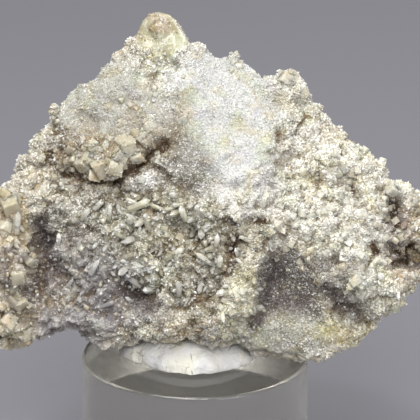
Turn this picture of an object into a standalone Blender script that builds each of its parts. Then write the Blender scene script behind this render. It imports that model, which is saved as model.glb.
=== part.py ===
"""A woodhouseite specimen: crystal-covered matrix, set with putty on a clear acrylic cylinder.

The rock is one grown piece, so the matrix and the crystals that grew on it are one solid. The
putty and the cylinder are the two other pieces. Shapes are worked out in millimetres and handed
to Blender in metres. The origin is the centre of the cylinder's foot, +Z is up, and the display
face looks towards -Y and leans back.
"""

import math
import random

import bmesh
import bpy
import numpy as np
from mathutils import Matrix, Vector, noise
from mathutils.bvhtree import BVHTree

MM = 0.001

# Driving dimensions, in millimetres
STAND_DIAMETER = 25.4
STAND_HEIGHT = 20.0
STAND_CHAMFER = 0.35
STAND_SIDES = 64
# Edges of the stand that are steeper than this are shaded sharp, and those steeper than the
# second are chamfered
STAND_CREASE = math.radians(30.0)
STAND_CORNER = math.radians(40.0)
TOUCH_GAP = 0.3
ROCK_CLEARANCE = 0.42
PUTTY_HEIGHT = 3.3
PUTTY_CENTRE = (-1.0, -0.2)
# How far the putty was pressed out at each heading, in degrees round its middle
PUTTY_REACH = [
    (0, 7.6), (55, 6.2), (110, 6.4), (150, 6.9), (180, 7.7), (225, 6.0), (258, 6.6), (286, 7.1),
    (308, 7.2), (336, 8.1),
]
PUTTY_SPARE = 1.09
PUTTY_RINGS = 14
PUTTY_SIDES = 28
PUTTY_EDGE_SHAPE = 2.6
PUTTY_CREASE = math.radians(60.0)
# Points of the putty's sphere that are this near its middle plane are taken to be on it
ON_PLANE = 0.001
FACE_LEAN = math.radians(20.5)

# The display face is drawn in its own plane, which leans back by FACE_LEAN. The first number runs
# right and the second up the face, both from the centre of the stand's top.
RIM_DEPTH = 4.0
FACE_CENTRE = (1.5, 17.0)
OUTLINE = [
    (-4.0, 38.1), (-2.6, 37.4), (-1.6, 36.6), (-0.9, 35.6), (0.2, 34.9), (1.3, 34.5), (2.1, 33.7),
    (3.2, 33.8), (4.2, 34.1), (5.2, 33.6), (5.7, 32.7), (6.7, 31.4), (8.0, 31.2), (9.0, 31.6),
    (9.9, 32.0), (10.7, 31.8), (11.5, 30.5), (12.6, 29.9), (12.5, 28.8), (13.5, 28.0),
    (14.1, 28.1), (14.3, 27.0), (14.8, 25.5), (15.5, 25.6), (16.5, 25.1), (17.3, 23.7),
    (17.6, 22.6), (18.5, 21.8), (19.5, 21.7), (21.3, 20.1), (22.6, 19.6), (24.1, 19.3),
    (25.6, 18.2), (26.8, 16.2), (27.5, 14.0), (27.2, 11.8), (26.1, 9.6), (24.0, 6.4),
    (22.8, 4.8), (21.0, 3.7), (19.7, 2.2), (18.0, 0.9), (15.8, -0.1), (14.0, -0.8), (12.1, -1.2),
    (10.0, -1.1), (7.5, -0.5), (4.4, 0.3), (0.6, 1.4), (-3.3, 1.6), (-6.1, 0.9), (-7.7, 0.5),
    (-9.0, 0.8), (-11.2, 1.2), (-12.8, 1.7), (-13.7, 2.7), (-15.7, 2.2), (-17.2, 2.0),
    (-18.0, 1.2), (-19.0, 0.4), (-20.6, 0.3), (-22.6, 0.9), (-24.1, 2.7), (-25.2, 5.4),
    (-25.7, 8.8), (-25.2, 12.1), (-24.1, 15.5), (-22.6, 17.8), (-20.8, 19.6), (-19.9, 20.6),
    (-19.6, 21.9), (-18.5, 22.5), (-16.7, 24.5), (-15.9, 25.6), (-16.1, 26.8), (-15.0, 28.1),
    (-14.1, 28.8), (-12.5, 29.9), (-11.3, 30.8), (-10.0, 32.0), (-8.6, 33.5), (-7.0, 34.9),
    (-6.0, 35.9), (-5.7, 36.9), (-4.9, 37.8),
]

# Spots on the display face: right, up, and how far that spot stands out of the face plane
FRONT_SPOTS = [
    (-4.0, 35.5, 6.5), (-4.0, 31.5, 7.5), (2.5, 31.5, 7.0), (9.5, 29.0, 6.5), (1.0, 26.5, 11.0),
    (6.0, 26.0, 10.5), (1.5, 21.5, 13.2), (5.5, 19.5, 13.6), (3.0, 16.0, 13.7), (3.5, 11.6, 11.0),
    (7.0, 15.5, 12.0), (6.3, 9.2, 11.0), (4.5, 6.8, 11.6), (1.8, 3.8, 11.4), (-1.5, 2.6, 10.4),
    (-8.0, 27.5, 8.0), (-12.0, 26.0, 7.0), (-5.0, 24.8, 11.4), (-8.8, 22.0, 11.8),
    (-12.5, 22.0, 9.5), (-16.0, 22.0, 6.5), (-2.6, 21.8, 11.2), (-5.6, 18.9, 8.2),
    (-1.8, 17.4, 11.2), (-0.4, 19.6, 12.6),
    (-9.5, 17.8, 8.2), (-13.5, 18.5, 7.0), (-5.0, 14.5, 9.8), (-1.0, 13.0, 10.2),
    (-10.0, 12.5, 8.2), (-14.0, 12.5, 6.4), (-6.8, 6.8, 6.4), (-2.0, 7.8, 9.2), (-11.5, 6.5, 6.6),
    (-14.5, 7.0, 5.6), (-9.0, 3.2, 7.4), (-17.2, 12.5, 3.6), (-17.4, 9.0, 3.8), (-20.2, 16.0, 8.2),
    (-21.0, 11.5, 9.8), (-20.0, 9.0, 9.6), (-20.5, 5.0, 8.6), (-18.0, 4.0, 7.0),
    (8.2, 22.8, 12.2), (10.8, 22.0, 8.4), (12.5, 25.0, 7.2), (13.5, 20.0, 8.8), (11.0, 17.5, 10.6),
    (13.5, 15.0, 10.8), (17.8, 18.2, 7.0), (18.5, 14.5, 9.6), (22.8, 16.8, 6.8),
    (24.8, 14.5, 7.4), (23.6, 10.6, 4.2), (21.0, 12.5, 7.8), (16.5, 10.4, 10.2), (12.8, 11.5, 10.0),
    (9.2, 11.5, 9.8), (8.6, 8.0, 5.6), (10.6, 6.0, 6.6), (14.0, 8.8, 9.6), (17.8, 7.8, 10.2),
    (21.5, 7.0, 9.2), (16.2, 4.9, 7.0), (19.0, 3.6, 7.2), (10.5, 2.8, 9.0), (13.6, 1.8, 8.4),
    (7.5, 1.6, 8.6),
]

# The same for the hidden back, which is broken matrix
BACK_SPOTS = [
    (0.0, 20.0, -9.0), (-10.0, 22.0, -5.5), (-13.0, 12.0, -7.5), (-21.0, 10.0, -2.0),
    (0.0, 31.0, -3.5), (9.0, 26.0, -5.5), (14.0, 17.0, -8.0), (22.0, 13.0, -2.5),
    (3.0, 10.0, -10.0), (12.0, 6.0, -5.0), (-6.0, 5.0, -6.0),
]
SPOT_POWER = 2.9

# Flat fractures that the back broke along: heading, rise in degrees, and distance from the middle
FRACTURES = [(90, 12, 8.6), (138, -6, 13.5), (48, -14, 13.0), (112, 46, 12.5), (62, 40, 14.0)]
ROCK_MIDDLE = (1.5, 4.2, 36.4)
FRACTURE_HOLD = 0.88

# Roughness of the broken and grown surface: size of a lump and its height
LUMP_SIZE, LUMP_HEIGHT = 7.0, 0.55
GRAIN_SIZE, GRAIN_HEIGHT = 2.6, 0.55
LUMP_FADE, LUMP_SCALING, LUMP_LAYERS = 0.9, 2.1, 3
SPOT_SIZE = 0.4
CROWDING = 0.8
EDGE_BLUNTNESS = 8.0
ROCK_DETAIL = 7
ROCK_GRID = 0.5
ROCK_SHARE_KEPT = 0.096

# Crystals that stand out of the face: right, up, size across, and turn in degrees
BIG_CUBES = [
    (-11.4, 20.8, 2.0, 20), (-9.4, 20.2, 2.3, 40), (-11.8, 22.7, 1.8, 75), (-7.2, 22.7, 2.0, 10),
    (-5.0, 24.1, 2.2, 55), (-6.4, 19.4, 1.6, 30), (-5.2, 18.6, 1.3, 65), (-4.0, 21.6, 1.5, 15),
    (-2.0, 21.8, 1.3, 80), (-15.3, 26.2, 1.5, 35), (-12.3, 28.0, 1.2, 5), (-14.0, 21.2, 1.2, 50),
    (-17.2, 21.2, 1.5, 25), (-20.6, 16.7, 2.5, 70), (-21.8, 14.2, 1.9, 15), (-19.7, 9.0, 2.3, 12),
    (-19.4, 10.7, 1.4, 60), (-17.9, 10.2, 1.4, 33), (-19.6, 5.7, 1.7, 48), (-18.6, 2.6, 1.8, 8),
    (-21.6, 3.2, 2.0, 66), (-22.6, 7.4, 1.9, 28), (16.9, 10.7, 1.6, 5), (18.2, 8.3, 1.6, 45),
    (13.9, 8.4, 1.1, 40), (14.4, 16.6, 1.6, 22), (15.9, 17.8, 1.4, 61), (19.1, 21.0, 1.1, 12),
    (16.1, 24.7, 1.6, 37), (11.7, 13.0, 1.4, 72), (9.2, 14.7, 1.5, 18), (4.6, 14.1, 1.5, 52),
    (12.8, 15.8, 1.3, 9), (21.6, 18.2, 1.5, 43), (24.4, 17.2, 1.6, 77), (11.8, 29.0, 1.6, 31),
    (9.9, 30.6, 1.6, 57), (4.3, 32.9, 1.6, 14), (-3.8, 36.2, 1.8, 44), (2.0, 2.4, 1.5, 63),
    (4.8, 4.6, 1.6, 21), (20.6, 5.0, 1.3, 35), (22.8, 8.8, 1.5, 50),
]
# The same for prisms of quartz, with their length as the third number and width as the fourth
PRISMS = [
    (-7.1, 16.7, 3.2, 1.3, 30), (-1.0, 15.7, 2.4, 1.1, 95), (-4.9, 14.6, 1.6, 1.1, 75),
    (-2.2, 10.9, 2.5, 0.9, 25), (1.6, 10.8, 2.0, 1.0, 140), (-11.2, 9.8, 2.3, 0.9, 60),
    (-6.9, 8.9, 3.0, 1.3, 128), (-2.2, 7.2, 2.3, 1.0, 120), (-3.2, 5.1, 2.2, 1.0, 60),
    (6.1, 12.8, 2.0, 0.8, 125), (2.3, 12.6, 1.5, 0.8, 85), (3.0, 10.2, 1.6, 0.9, 70),
    (-9.8, 5.3, 2.1, 0.9, 10), (-12.7, 5.9, 1.8, 0.9, 80), (-19.7, 14.4, 3.0, 1.5, 85),
    (-9.0, 13.2, 1.8, 0.9, 150), (-12.8, 15.2, 1.7, 0.9, 45), (-6.0, 11.4, 1.6, 0.8, 20),
]
CUBE_SHEAR = (0.08, 0.05)
CUBE_SINK = 0.22
CUBE_TILT = (8.0, 32.0)
CUBE_SIDES = (0.84, 1.12)
PRISM_TIP = 0.45
PRISM_RISE = 0.55
SCATTERED_CUBES = 56
SCATTERED_SIZE = (0.8, 1.4)
SCATTERED_TILT = 0.6
FRONT_FACING = 0.3
BACK_SHARE = 0.35
UNDERSIDE_HEIGHT = 4.5
SEED = 1578

FACE_RIGHT = Vector((1.0, 0.0, 0.0))
FACE_UP = Vector((0.0, math.sin(FACE_LEAN), math.cos(FACE_LEAN)))
FACE_OUT = Vector((0.0, -math.cos(FACE_LEAN), math.sin(FACE_LEAN)))
FACE_ORIGIN = Vector((0.0, 0.0, STAND_HEIGHT))
# A distance in front of the face that is clear of all of the rock
IN_FRONT = 60.0


def clear_scene():
    for obj in list(bpy.data.objects):
        bpy.data.objects.remove(obj)


def collection(name):
    made = bpy.data.collections.new(name)
    bpy.context.scene.collection.children.link(made)
    return made


def material(name, colour, roughness, metallic=0.0, transmission=0.0, ior=1.5):
    made = bpy.data.materials.new(name)
    made.use_nodes = True
    shader = made.node_tree.nodes["Principled BSDF"]
    shader.inputs["Base Color"].default_value = (*colour, 1.0)
    shader.inputs["Roughness"].default_value = roughness
    shader.inputs["Metallic"].default_value = metallic
    shader.inputs["Transmission Weight"].default_value = transmission
    shader.inputs["IOR"].default_value = ior
    return made


def add_object(name, form, into, finish=None):
    """Turns a bmesh in millimetres into a named object in metres."""
    bmesh.ops.scale(form, vec=(MM, MM, MM), verts=form.verts)
    mesh = bpy.data.meshes.new(name)
    form.to_mesh(mesh)
    form.free()
    if finish:
        mesh.materials.append(finish)
    obj = bpy.data.objects.new(name, mesh)
    into.objects.link(obj)
    return obj


def smoothstep(low, high, values):
    share = np.clip((values - low) / (high - low), 0.0, 1.0)
    return share * share * (3.0 - 2.0 * share)


def outline_reach(angles):
    """How far the outline is from the middle of the face at each angle round it."""
    corners = np.array(OUTLINE) - np.array(FACE_CENTRE)
    around = np.arctan2(corners[:, 1], corners[:, 0])
    reach = np.hypot(corners[:, 0], corners[:, 1])
    order = np.argsort(around)
    return np.interp(angles, around[order], reach[order], period=2 * math.pi)


def depth_from(spots, across, up):
    """Blends the depths of the spots, each holding its own neighbourhood."""
    total = np.zeros_like(across)
    weights = np.zeros_like(across)
    for spot_across, spot_up, depth in spots:
        away = np.hypot(across - spot_across, up - spot_up) + SPOT_SIZE
        weight = away**-SPOT_POWER
        total += weight * depth
        weights += weight
    return total / weights


def to_world(across, up, out):
    return (
        np.array(FACE_ORIGIN)
        + np.outer(across, FACE_RIGHT)
        + np.outer(up, FACE_UP)
        + np.outer(out, FACE_OUT)
    )


def pillow(directions):
    """Moves the points of a unit sphere to the outline, the front relief and the back."""
    around = np.arctan2(directions[:, 1], directions[:, 0])
    from_middle = np.clip(np.hypot(directions[:, 0], directions[:, 1]), 0.0, 1.0) ** CROWDING
    reach = outline_reach(around) * from_middle
    across = FACE_CENTRE[0] + reach * np.cos(around)
    up = FACE_CENTRE[1] + reach * np.sin(around)
    fullness = np.sqrt(1.0 - from_middle**EDGE_BLUNTNESS)
    front = directions[:, 2] > 0.0
    depth = np.where(
        front, depth_from(FRONT_SPOTS, across, up), depth_from(BACK_SPOTS, across, up)
    )
    out = RIM_DEPTH + (depth - RIM_DEPTH) * fullness
    return break_back(to_world(across, up, out), smoothstep(-RIM_DEPTH, 0.0, -out))


def break_back(points, behind):
    """Flattens what lies past each fracture plane on to it, as far as it is behind the rim."""
    for heading, rise, distance in FRACTURES:
        turn, tilt = math.radians(heading), math.radians(rise)
        normal = np.array(
            (math.cos(turn) * math.cos(tilt), math.sin(turn) * math.cos(tilt), math.sin(tilt))
        )
        past = np.maximum((points - np.array(ROCK_MIDDLE)) @ normal - distance, 0.0)
        points = points - np.outer(past * FRACTURE_HOLD * behind, normal)
    return points


def roughen(points, normals):
    """Adds lumps and grains along the normals."""
    heights = np.empty(len(points))
    for i, (x, y, z) in enumerate(points):
        point = Vector((x, y, z))
        lump = noise.fractal(point / LUMP_SIZE, LUMP_FADE, LUMP_SCALING, LUMP_LAYERS)
        near = noise.voronoi(point / GRAIN_SIZE)[0][0]
        heights[i] = LUMP_HEIGHT * lump + GRAIN_HEIGHT * (0.5 - near)
    return points + normals * heights[:, None]


def putty_share(x, y):
    """How far out a place is in the putty: 0 in its middle and 1 at its edge."""
    x, y = x - PUTTY_CENTRE[0], y - PUTTY_CENTRE[1]
    headings, reaches = np.array(PUTTY_REACH).T
    reach = np.interp(np.degrees(np.arctan2(y, x)), headings, reaches, period=360.0)
    return np.hypot(x, y) / reach


def putty_rise(share):
    """Height of the putty's top over its foot: a flat lens with a rounded edge."""
    return PUTTY_HEIGHT * np.sqrt(np.clip(1.0 - share**PUTTY_EDGE_SHAPE, 0.0, 1.0))


def clear_of_stand(points):
    """Keeps the underside above the stand and pressed to the shape of the putty."""
    share = putty_share(points[:, 0], points[:, 1])
    lift = ROCK_CLEARANCE + putty_rise(share / PUTTY_SPARE) + TOUCH_GAP * (share < PUTTY_SPARE)
    points[:, 2] = np.maximum(points[:, 2], STAND_HEIGHT + lift)
    return points


def positions(form):
    form.verts.ensure_lookup_table()
    return np.array([vert.co for vert in form.verts])


def place(form, points):
    for vert, point in zip(form.verts, points):
        vert.co = point
    form.normal_update()


def matrix_form():
    """The rock without its large crystals."""
    form = bmesh.new()
    bmesh.ops.create_icosphere(form, subdivisions=ROCK_DETAIL, radius=1.0)
    place(form, pillow(positions(form)))
    normals = np.array([vert.normal for vert in form.verts])
    place(form, clear_of_stand(roughen(positions(form), normals)))
    bmesh.ops.recalc_face_normals(form, faces=form.faces)
    return form


def cube_crystal(form, size, place_at):
    """A woodhouseite rhombohedron, close to a cube, with slightly unequal sides."""
    made = bmesh.ops.create_cube(form, size=1.0)["verts"]
    lean = Matrix.Shear("XY", 4, CUBE_SHEAR)
    bmesh.ops.transform(form, matrix=place_at @ Matrix.Diagonal((*size, 1.0)) @ lean, verts=made)


def prism_crystal(form, length, width, place_at):
    """A six-sided quartz prism with a pointed end."""
    body = bmesh.ops.create_cone(
        form, cap_ends=True, segments=6, radius1=width / 2, radius2=width / 2, depth=length
    )["verts"]
    tip = [vert for vert in body if vert.co.z > 0.0]
    top = [face for face in tip[0].link_faces if all(vert in tip for vert in face.verts)]
    point = bmesh.ops.poke(form, faces=top, center_mode="MEAN")["verts"]
    bmesh.ops.translate(form, vec=(0.0, 0.0, width * PRISM_TIP), verts=point)
    bmesh.ops.transform(form, matrix=place_at, verts=body + point)


def standing(point, direction, turn=0.0, tilt=0.0):
    """A frame at point whose Z runs along direction, turned about it and then tilted."""
    stand_up = direction.to_track_quat("Z", "Y").to_matrix().to_4x4()
    turned = Matrix.Rotation(turn, 4, "Z") @ Matrix.Rotation(tilt, 4, "X")
    return Matrix.Translation(point) @ stand_up @ turned


def front_hit(surface, across, up):
    """Where a line from in front of the face, at that place on it, meets the rock."""
    start = Vector(to_world([across], [up], [IN_FRONT])[0])
    point, normal, _, _ = surface.ray_cast(start, -FACE_OUT)
    return point, normal


class CrystalGroups:
    """Sorts crystals into groups in which none touches another."""

    def __init__(self):
        self.forms = []
        self.taken = []

    def add(self, centre, size):
        """The form of the first group with room for a crystal of this size here."""
        for form, taken in zip(self.forms, self.taken):
            if all((centre - other).length > size + other_size for other, other_size in taken):
                taken.append((centre, size))
                return form
        self.forms.append(bmesh.new())
        self.taken.append([(centre, size)])
        return self.forms[-1]


def cube_sides(size, chance):
    return [size * chance.uniform(*CUBE_SIDES) for _ in range(3)]


def placed_cubes(add, surface):
    """The large woodhouseite crystals that show on the display face."""
    chance = random.Random(SEED)
    for across, up, size, turn in BIG_CUBES:
        point, normal = front_hit(surface, across, up)
        if point is None:
            continue
        direction = (normal + FACE_OUT).normalized()
        tilt = math.radians(chance.uniform(*CUBE_TILT))
        centre = point - direction * size * CUBE_SINK
        frame = standing(centre, direction, math.radians(turn), tilt)
        cube_crystal(add(centre, size), cube_sides(size, chance), frame)


def placed_prisms(add, surface):
    """The quartz prisms that show on the display face, lying at their turn across it."""
    for across, up, length, width, turn in PRISMS:
        point, normal = front_hit(surface, across, up)
        if point is None:
            continue
        lie = math.radians(turn)
        along = FACE_RIGHT * math.cos(lie) + FACE_UP * math.sin(lie)
        direction = (along + normal * PRISM_RISE).normalized()
        prism_crystal(add(point, length / 2 + width), length, width, standing(point, direction))


def room_for_scatter(centre, normal, chance):
    """Whether a small crystal goes here: on the front, or now and then on the back."""
    if centre.z < STAND_HEIGHT + UNDERSIDE_HEIGHT:
        return False
    facing = normal.dot(FACE_OUT)
    return facing > FRONT_FACING or (facing < 0.0 and chance.random() < BACK_SHARE)


def scattered_crystals(add, rock):
    chance = random.Random(SEED + 1)
    faces = list(rock.polygons)
    areas = [face.area for face in faces]
    left = SCATTERED_CUBES
    while left:
        face = chance.choices(faces, weights=areas)[0]
        centre, normal = face.center / MM, face.normal
        if not room_for_scatter(centre, normal, chance):
            continue
        size = chance.uniform(*SCATTERED_SIZE)
        turn = chance.uniform(0.0, math.tau)
        tilt = chance.uniform(-SCATTERED_TILT, SCATTERED_TILT)
        frame = standing(centre, normal, turn, tilt)
        cube_crystal(add(centre, size), cube_sides(size, chance), frame)
        left -= 1


def build_rock(into, cutters, finish):
    """The matrix on an even grid, thinned to flat facets, with its crystals grown into it."""
    rock = add_object("woodhouseite_rock", matrix_form(), into, finish)
    grid = rock.modifiers.new("even_faces", "REMESH")
    grid.mode = "VOXEL"
    grid.voxel_size = ROCK_GRID * MM
    thin = rock.modifiers.new("fewer_faces", "DECIMATE")
    thin.ratio = ROCK_SHARE_KEPT
    graph = bpy.context.evaluated_depsgraph_get()
    thinned = rock.evaluated_get(graph).to_mesh()
    corners = [vert.co / MM for vert in thinned.vertices]
    surface = BVHTree.FromPolygons(corners, [face.vertices for face in thinned.polygons])

    groups = CrystalGroups()
    placed_cubes(groups.add, surface)
    placed_prisms(groups.add, surface)
    scattered_crystals(groups.add, thinned)
    for number, form in enumerate(groups.forms, start=1):
        bmesh.ops.recalc_face_normals(form, faces=form.faces)
        crystals = add_object(f"crystals_{number}", form, cutters)
        crystals.hide_render = True
        crystals.display_type = "WIRE"
        join = rock.modifiers.new(f"grown_crystals_{number}", "BOOLEAN")
        join.operation = "UNION"
        join.object = crystals
    return rock


def build_putty(into, finish):
    """A thumb-pressed lens, flat where it lies on the stand: the upper half of a sphere, drawn."""
    form = bmesh.new()
    bmesh.ops.create_uvsphere(form, u_segments=PUTTY_SIDES, v_segments=PUTTY_RINGS, radius=1.0)
    bmesh.ops.bisect_plane(
        form,
        geom=form.verts[:] + form.edges[:] + form.faces[:],
        plane_co=(0, 0, 0),
        plane_no=(0, 0, 1),
        dist=ON_PLANE,
        clear_inner=True,
    )
    bmesh.ops.holes_fill(form, edges=[edge for edge in form.edges if edge.is_boundary])
    for vert in form.verts:
        share = math.sqrt(1.0 - min(vert.co.z, 1.0) ** 2)
        heading = math.atan2(vert.co.y, vert.co.x)
        along = np.array((math.cos(heading), math.sin(heading)))
        reach = share / putty_share(*(PUTTY_CENTRE + along))
        vert.co.xy = PUTTY_CENTRE + along * reach
        vert.co.z = STAND_HEIGHT + TOUCH_GAP + putty_rise(share)
    bmesh.ops.recalc_face_normals(form, faces=form.faces)
    putty = add_object("mineral_putty", form, into, finish)
    putty.data.shade_smooth()
    putty.data.set_sharp_from_angle(angle=PUTTY_CREASE)
    return putty


def build_stand(into, finish):
    """The clear cylinder, with a fine chamfer round both ends."""
    form = bmesh.new()
    bmesh.ops.create_cone(
        form,
        cap_ends=True,
        segments=STAND_SIDES,
        radius1=STAND_DIAMETER / 2,
        radius2=STAND_DIAMETER / 2,
        depth=STAND_HEIGHT,
        matrix=Matrix.Translation((0.0, 0.0, STAND_HEIGHT / 2)),
    )
    stand = add_object("acrylic_stand", form, into, finish)
    stand.data.shade_smooth()
    stand.data.set_sharp_from_angle(angle=STAND_CREASE)
    chamfer = stand.modifiers.new("chamfer", "BEVEL")
    chamfer.width = STAND_CHAMFER * MM
    chamfer.segments = 1
    chamfer.limit_method = "ANGLE"
    chamfer.angle_limit = STAND_CORNER
    return stand


def main():
    clear_scene()
    specimen = collection("woodhouseite_specimen")
    cutters = collection("helpers")
    cutters.hide_render = True
    rock_finish = material("crystal_druse", (0.66, 0.62, 0.52), 0.55)
    putty_finish = material("white_putty", (0.80, 0.80, 0.75), 0.60)
    acrylic = material("clear_acrylic", (0.97, 0.98, 0.98), 0.04, transmission=1.0, ior=1.49)
    build_stand(specimen, acrylic)
    build_putty(specimen, putty_finish)
    build_rock(specimen, cutters, rock_finish)


main()
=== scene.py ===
"""Looks of the woodhouseite specimen: druse, crystals, putty and the clear stand."""

import itertools
import math
import random

import bmesh
import bpy
import numpy as np
from mathutils import Matrix, Vector, noise
from mathutils.bvhtree import BVHTree


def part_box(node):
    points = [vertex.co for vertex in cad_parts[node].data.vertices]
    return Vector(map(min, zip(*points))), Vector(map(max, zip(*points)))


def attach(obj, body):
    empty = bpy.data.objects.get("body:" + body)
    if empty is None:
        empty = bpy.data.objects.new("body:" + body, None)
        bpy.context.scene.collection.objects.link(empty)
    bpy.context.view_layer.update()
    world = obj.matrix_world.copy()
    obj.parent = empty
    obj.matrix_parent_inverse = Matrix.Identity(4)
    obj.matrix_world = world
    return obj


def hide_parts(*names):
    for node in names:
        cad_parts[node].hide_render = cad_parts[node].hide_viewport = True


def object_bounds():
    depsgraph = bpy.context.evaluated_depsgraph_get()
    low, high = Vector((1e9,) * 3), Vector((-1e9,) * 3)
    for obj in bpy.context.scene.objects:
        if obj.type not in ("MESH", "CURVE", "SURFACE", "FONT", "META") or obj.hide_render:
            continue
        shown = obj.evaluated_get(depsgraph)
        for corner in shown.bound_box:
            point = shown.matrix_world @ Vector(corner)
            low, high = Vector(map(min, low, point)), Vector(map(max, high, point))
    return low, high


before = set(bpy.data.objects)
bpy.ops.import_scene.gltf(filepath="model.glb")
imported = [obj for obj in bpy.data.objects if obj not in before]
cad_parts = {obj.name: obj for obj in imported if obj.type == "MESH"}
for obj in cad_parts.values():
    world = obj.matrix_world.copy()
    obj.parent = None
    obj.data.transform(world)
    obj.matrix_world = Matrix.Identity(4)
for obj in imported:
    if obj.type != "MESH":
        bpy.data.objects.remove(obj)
cad_box = [list(corner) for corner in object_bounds()]

MM = 0.001
SEED = 1578

# The camera looks straight at the display face, which leans back
FACE_LEAN = math.radians(20.5)
FACE_RIGHT = Vector((1.0, 0.0, 0.0))
FACE_UP = Vector((0.0, math.sin(FACE_LEAN), math.cos(FACE_LEAN)))
FACE_OUT = Vector((0.0, -math.cos(FACE_LEAN), math.sin(FACE_LEAN)))
CAMERA_AWAY = 500 * MM
SENSOR = 36.0

STAND_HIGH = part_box("acrylic_stand")[1]
STAND_TOP = Vector((0.0, 0.0, STAND_HIGH.z))
STAND_RADIUS = STAND_HIGH.x

# The photograph is 420 pixels a side, and a pixel there is this wide at the stand's axis
PHOTO_SIDE = 420
PHOTO_PIXEL = 0.1121 * MM
PHOTO_STAND = (195, 354)
PHOTO_MIDDLE = PHOTO_SIDE / 2
FACE_DEPTH = 8 * MM
FACE_PIXEL = PHOTO_PIXEL * (1.0 - FACE_DEPTH / CAMERA_AWAY)
AIM = (
    STAND_TOP
    + FACE_RIGHT * (PHOTO_MIDDLE - PHOTO_STAND[0]) * PHOTO_PIXEL
    + FACE_UP * (PHOTO_STAND[1] - PHOTO_MIDDLE) * PHOTO_PIXEL
)
CAMERA_PLACE = AIM + FACE_OUT * CAMERA_AWAY

# Parts of the display face: middle, half width and half height in the photograph's pixels, and the
# druse's tint there with its strength. Each tint lies over the ones before it. The tints paint light
# and shade along with the druse's colour: the dark tint of below_brow is painted shade, that of hollow
# is partly painted shade, and the pale tints of nose, ridge, right_slope and nodule paint light onto
# faces that lie in shade.
ZONES = {
    "flank": (338, 205, 72, 72, (246, 244, 232), 0.9),
    "shoulder": (112, 108, 60, 52, (162, 163, 156), 0.8),
    "low_face": (165, 244, 84, 50, (144, 141, 113), 0.85),
    "left_middle": (84, 216, 36, 22, (98, 98, 82), 0.8),
    "lilac": (70, 296, 74, 56, (105, 103, 112), 0.9),
    "ledge": (98, 162, 58, 26, (136, 114, 72), 0.8),
    "lobe": (12, 272, 27, 82, (168, 155, 129), 0.8),
    "upper_right": (300, 110, 28, 36, (209, 209, 196), 0.85),
    "ridge_foot": (190, 326, 34, 14, (194, 169, 111), 0.8),
    "ridge": (238, 304, 22, 38, (251, 246, 206), 0.85),
    "olive_low": (199, 286, 28, 36, (95, 86, 57), 0.85),
    "left_notch": (64, 142, 20, 14, (78, 64, 44), 0.85),
    "crack_edge": (150, 160, 22, 16, (151, 131, 96), 0.5),
    "olive": (186, 242, 24, 10, (165, 155, 114), 0.6),
    "low_white": (150, 269, 15, 11, (249, 251, 239), 0.85),
    "hollow": (290, 288, 36, 40, (70, 65, 60), 0.9),
    "apron": (284, 334, 66, 24, (166, 166, 154), 0.85),
    "right_slope": (378, 292, 34, 30, (251, 251, 231), 0.9),
    "low_edge": (352, 334, 36, 12, (221, 206, 148), 0.6),
    "right_end": (408, 236, 22, 60, (180, 154, 123), 0.8),
    "right_lump": (408, 188, 20, 14, (251, 250, 230), 0.8),
    "ochre": (9, 206, 17, 15, (176, 152, 98), 0.9),
    "lobe_lump": (18, 258, 13, 9, (139, 126, 120), 0.8),
    "brown_side": (176, 126, 20, 24, (128, 114, 90), 0.6),
    "nose": (246, 186, 38, 36, (251, 251, 242), 0.9),
    "dome": (222, 114, 60, 82, (197, 199, 198), 0.95),
    "brow": (158, 72, 26, 14, (221, 226, 221), 0.8),
    "below_brow": (180, 165, 26, 32, (86, 80, 69), 0.7),
    "nodule": (140, 179, 17, 12, (252, 252, 248), 0.9),
    "brow_shade": (174, 93, 22, 10, (144, 147, 134), 0.7),
    "peak": (156, 42, 24, 24, (160, 161, 137), 0.9),
    "peak_top": (160, 24, 14, 9, (158, 141, 116), 0.85),
    "bald_peak": (160, 32, 29, 29, None, 0.0),
}


def srgb(red, green, blue):
    """A colour as it is picked on a screen, as the shader's linear values and full cover."""
    shares = [value / 255.0 for value in (red, green, blue)]
    linear = [s / 12.92 if s <= 0.04045 else ((s + 0.055) / 1.055) ** 2.4 for s in shares]
    return (*linear, 1.0)


# Numbers of a Random Value node's lower input, upper input and output, by kind of value
RANDOM_SOCKETS = {"FLOAT_VECTOR": (0, 1, 0), "FLOAT": (2, 3, 1), "INT": (4, 5, 2)}


def arithmetic(operation):
    """A method that puts the wire and another value into a Math node."""
    return lambda self, other: self.web.maths(operation, self, other)


class Wire:
    """An output of a node, on which sums, products and powers add Math nodes."""

    __add__ = __radd__ = arithmetic("ADD")
    __sub__ = arithmetic("SUBTRACT")
    __mul__ = arithmetic("MULTIPLY")
    __truediv__ = arithmetic("DIVIDE")
    __pow__ = arithmetic("POWER")

    def __init__(self, web, socket):
        self.web = web
        self.socket = socket

    def __rsub__(self, other):
        return self.web.maths("SUBTRACT", other, self)

    def also(self, name):
        """Another output of the same node."""
        return Wire(self.web, self.socket.node.outputs[name])


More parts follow.
